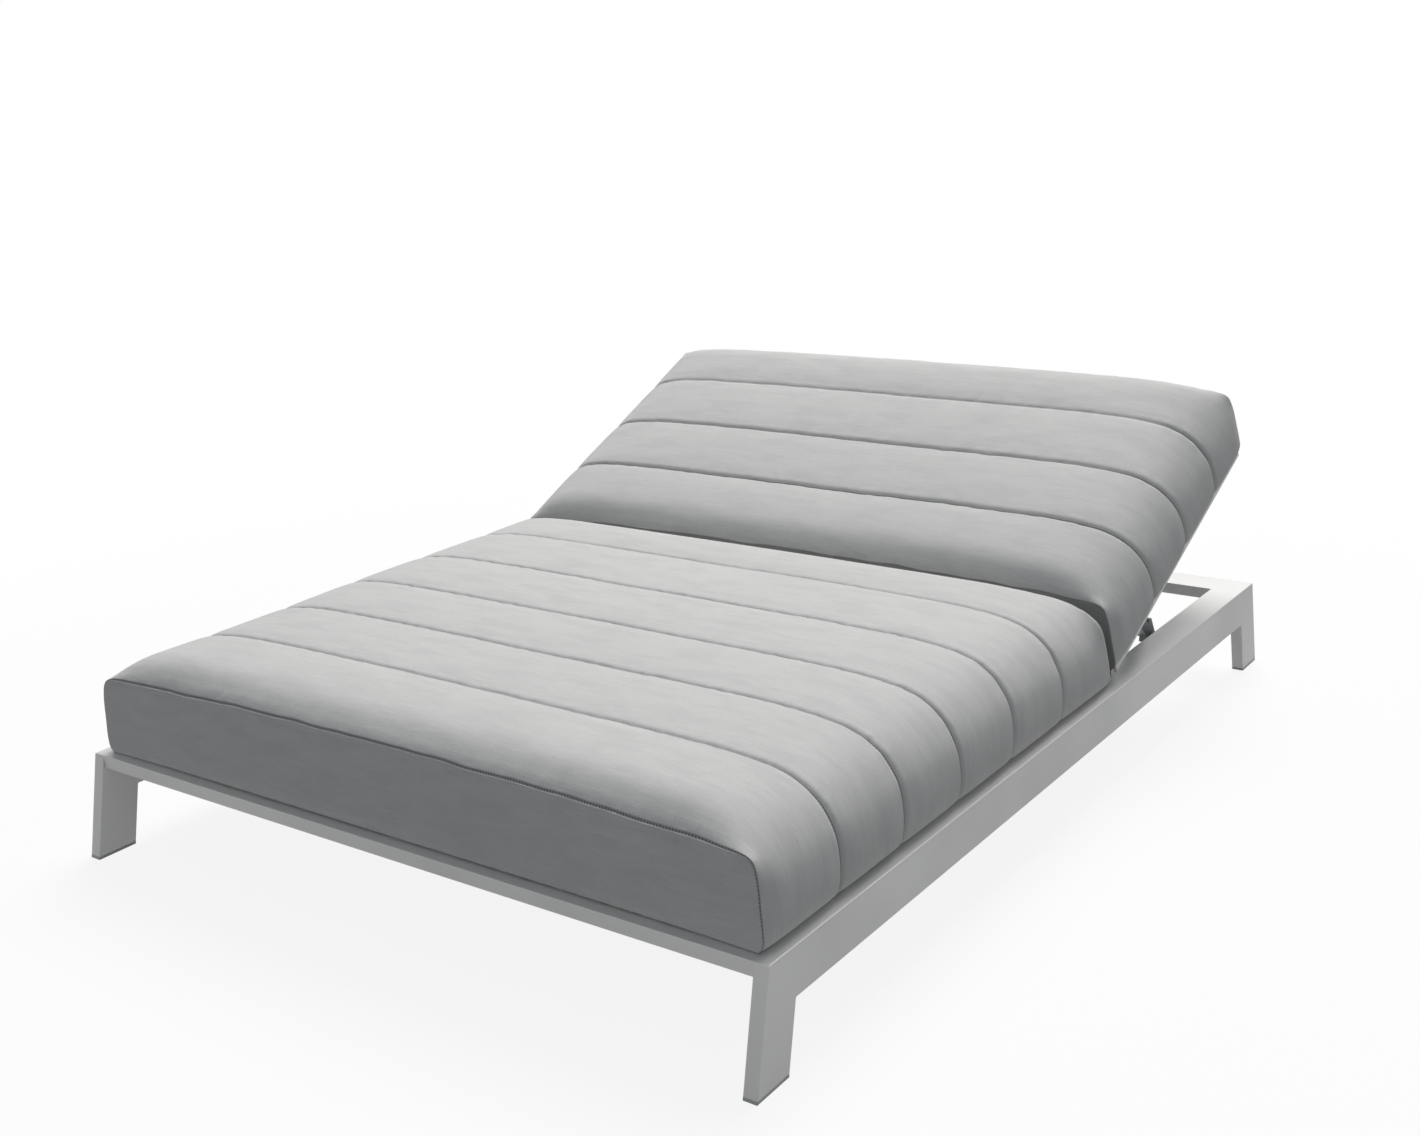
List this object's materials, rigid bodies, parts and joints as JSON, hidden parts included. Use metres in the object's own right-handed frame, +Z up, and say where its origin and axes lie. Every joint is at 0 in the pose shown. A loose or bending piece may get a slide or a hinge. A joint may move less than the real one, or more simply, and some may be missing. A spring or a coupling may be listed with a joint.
{
  "type": "double chaise lounger",
  "caption": "low two-person outdoor daybed: metal frame on splayed legs, channelled cushions, backrest propped on a notched stay",
  "frame": {"origin": "on the ground under the middle of the footprint, which is the box round the splayed legs", "axes": "+X across the lounger to the right seen from the foot end, +Y along it from the foot end to the head end, +Z up"},
  "size_m": [1.5, 2.024, 0.6629],
  "materials": {
    "powder_coat": "satin powder coat",
    "cushion_fabric": "matt woven outdoor fabric",
    "black_plastic": "fine matt",
    "grey_plastic": "fine matt",
    "rubber": "matt",
    "stainless_steel": "brushed"
  },
  "bodies": {
    "base": {"centre_bearer": "powder_coat", "front_left_glide": "grey_plastic", "front_left_leg": "powder_coat", "front_rail": "powder_coat", "front_right_glide": "grey_plastic", "front_right_leg": "powder_coat", "hinge_bearer": "powder_coat", "hinge_bracket_left": "stainless_steel", "hinge_bracket_right": "stainless_steel", "hinge_pins": "stainless_steel", "hinge_screws": "stainless_steel", "left_ledge_rail": "powder_coat", "left_side_rail": "powder_coat", "rack_bar_left": "powder_coat", "rack_bar_right": "powder_coat", "rack_plate_left": "powder_coat", "rack_plate_right": "powder_coat", "rack_screws": "stainless_steel", "rear_left_glide": "grey_plastic", "rear_left_leg": "powder_coat", "rear_rail": "powder_coat", "rear_right_glide": "grey_plastic", "rear_right_leg": "powder_coat", "right_ledge_rail": "powder_coat", "right_side_rail": "powder_coat", "seat_cushion": "cushion_fabric", "seat_slat_1": "powder_coat", "seat_slat_2": "powder_coat", "seat_slat_3": "powder_coat", "seat_slat_4": "powder_coat", "seat_slat_5": "powder_coat", "seat_slat_6": "powder_coat", "seat_slat_7": "powder_coat"},
    "backrest": {"back_bumpers": "rubber", "back_cushion": "cushion_fabric", "back_end_caps": "black_plastic", "back_left_rail": "powder_coat", "back_lower_rail": "powder_coat", "back_right_rail": "powder_coat", "back_slat_1": "powder_coat", "back_slat_2": "powder_coat", "back_slat_3": "powder_coat", "back_slat_4": "powder_coat", "back_upper_rail": "powder_coat", "hinge_bushes": "black_plastic", "hinge_leaf_left": "powder_coat", "hinge_leaf_right": "powder_coat", "prop_lug_left": "powder_coat", "prop_lug_right": "powder_coat", "prop_pins": "stainless_steel"},
    "prop_stay": {"foot_bar_caps": "black_plastic", "prop_arm_left": "powder_coat", "prop_arm_right": "powder_coat", "prop_foot_bar": "powder_coat", "prop_washers": "black_plastic"}
  },
  "joints": [
    {"name": "back_recline", "type": "hinge", "parent": "base", "child": "backrest", "pos_m": [0, 0.269, 0.2085], "axis": [1, 0, 0], "range_deg": [-24, 12]},
    {"name": "prop_swing", "type": "hinge", "parent": "backrest", "child": "prop_stay", "pos_m": [0, 0.4834, 0.27768], "axis": [1, 0, 0], "range_deg": [-32.1, 64.1]}
  ],
  "couplings": [
    {"joint": "prop_swing", "follows": "back_recline", "ratio": -2.67}
  ]
}
